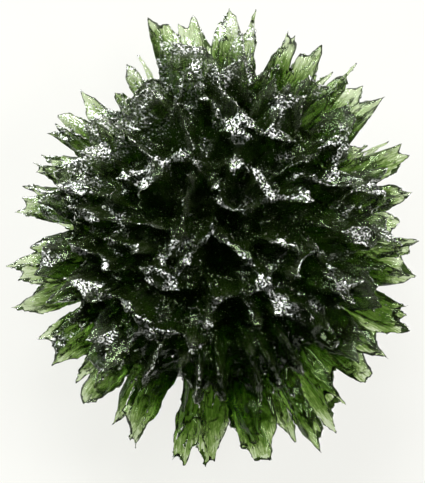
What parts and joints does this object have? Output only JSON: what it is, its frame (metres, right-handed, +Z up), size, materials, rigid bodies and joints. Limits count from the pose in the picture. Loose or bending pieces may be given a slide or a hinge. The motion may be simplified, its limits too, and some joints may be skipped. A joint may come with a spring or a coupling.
{
  "type": "moldavite",
  "caption": "Hedgehog moldavite: a flat round lump of natural green glass, etched all over into thin jagged see-through blades.",
  "frame": {"origin": "centre of the outline's bounding box, on the surface that the stone rests on", "axes": "+Z up, square to the flat of the stone; +Y along its longer width and +X along its shorter width"},
  "size_m": [0.0376, 0.0418, 0.0185],
  "materials": {
    "green_glass": "natural etched glass, deep green, smooth in the grooves and pitted on the crests"
  },
  "bodies": {
    "root": {"moldavite": "green_glass"}
  },
  "joints": []
}
